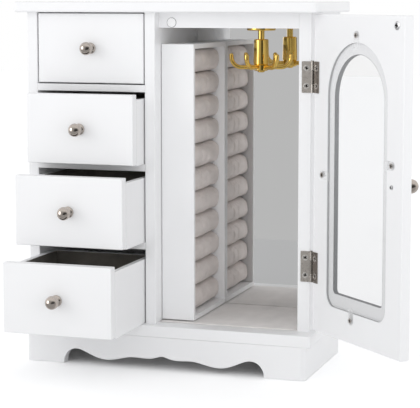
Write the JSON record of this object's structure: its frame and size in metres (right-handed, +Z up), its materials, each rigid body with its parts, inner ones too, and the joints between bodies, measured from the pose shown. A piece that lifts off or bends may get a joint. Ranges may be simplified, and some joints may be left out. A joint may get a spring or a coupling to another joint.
{
  "type": "jewelry cabinet",
  "caption": "White table-top jewelry cabinet with pull-out drawers, a glazed arched door, a ring tray of padded rolls, a turning necklace carousel and a mirrored back wall.",
  "frame": {"origin": "centre of the plinth's footprint, on the surface that the cabinet stands on", "axes": "+X to the right as seen from the front, +Y to the back, +Z up"},
  "size_m": [0.3974, 0.2216, 0.34],
  "materials": {
    "white_paint": "satin white paint on fibreboard",
    "roll_suede": "taupe suede cloth over foam",
    "liner_suede": "light taupe suede cloth",
    "charcoal_felt": "dark felt",
    "mirror": "silvered glass",
    "clear_glass": "clear float glass",
    "clear_plastic": "clear moulded plastic",
    "white_plastic": "white cap",
    "satin_nickel": "satin nickel plate",
    "polished_nickel": "polished warm nickel",
    "plain_steel": "zinc plated",
    "gold": "polished gold plate"
  },
  "bodies": {
    "cabinet": {"front_apron": "white_paint", "side_aprons": "white_paint", "rear_apron": "white_paint", "base_board": "white_paint", "top_board": "white_paint", "left_side_panel": "white_paint", "right_side_panel": "white_paint", "divider_panel": "white_paint", "drawer_shelves": "white_paint", "compartment_ceiling": "white_paint", "back_panel": "white_paint", "compartment_mirror": "mirror", "floor_liner": "liner_suede", "magnet_catch": "white_plastic", "base_screws": "plain_steel", "back_panel_nails": "plain_steel", "hinge_frame_leaves": "satin_nickel", "hinge_frame_screws": "satin_nickel", "hinge_pins": "satin_nickel", "carousel_flange": "gold", "flange_screws": "gold", "carousel_retainer": "gold", "tray_frame_boards": "white_paint", "tray_backing": "white_paint", "ring_rolls": "roll_suede"},
    "door": {"door_panel": "white_paint", "door_glass": "clear_glass", "glass_clips": "clear_plastic", "clip_screws": "satin_nickel", "strike_screw": "plain_steel", "door_knob": "polished_nickel", "door_knob_screw": "plain_steel", "hinge_door_leaves": "satin_nickel", "hinge_door_screws": "satin_nickel"},
    "hook_carousel": {"carousel_hub": "gold", "carousel_arms": "gold"},
    "drawer_1": {"drawer_1_front": "white_paint", "drawer_1_boards": "white_paint", "drawer_1_bottom": "white_paint", "drawer_1_lining": "charcoal_felt", "drawer_1_knob": "polished_nickel", "drawer_1_knob_screw": "plain_steel"},
    "drawer_2": {"drawer_2_front": "white_paint", "drawer_2_boards": "white_paint", "drawer_2_bottom": "white_paint", "drawer_2_lining": "charcoal_felt", "drawer_2_knob": "polished_nickel", "drawer_2_knob_screw": "plain_steel"},
    "drawer_3": {"drawer_3_front": "white_paint", "drawer_3_boards": "white_paint", "drawer_3_bottom": "white_paint", "drawer_3_lining": "charcoal_felt", "drawer_3_knob": "polished_nickel", "drawer_3_knob_screw": "plain_steel"},
    "drawer_4": {"drawer_4_front": "white_paint", "drawer_4_boards": "white_paint", "drawer_4_bottom": "white_paint", "drawer_4_lining": "charcoal_felt", "drawer_4_knob": "polished_nickel", "drawer_4_knob_screw": "plain_steel"}
  },
  "joints": [
    {"name": "door_hinge", "type": "hinge", "parent": "cabinet", "child": "door", "pos_m": [0.1375, -0.0451, 0.187], "axis": [0, 0, 1], "range_deg": [-135, 45]},
    {"name": "carousel_spin", "type": "hinge", "parent": "cabinet", "child": "hook_carousel", "pos_m": [0.0739, 0.008, 0.29], "axis": [0, 0, 1], "continuous": true},
    {"name": "drawer_1_slide", "type": "slide", "parent": "cabinet", "child": "drawer_1", "axis": [0, -1, 0], "range_m": [0, 0.09]},
    {"name": "drawer_2_slide", "type": "slide", "parent": "cabinet", "child": "drawer_2", "axis": [0, -1, 0], "range_m": [-0.028, 0.062]},
    {"name": "drawer_3_slide", "type": "slide", "parent": "cabinet", "child": "drawer_3", "axis": [0, -1, 0], "range_m": [-0.055, 0.035]},
    {"name": "drawer_4_slide", "type": "slide", "parent": "cabinet", "child": "drawer_4", "axis": [0, -1, 0], "range_m": [-0.083, 0.007]}
  ]
}
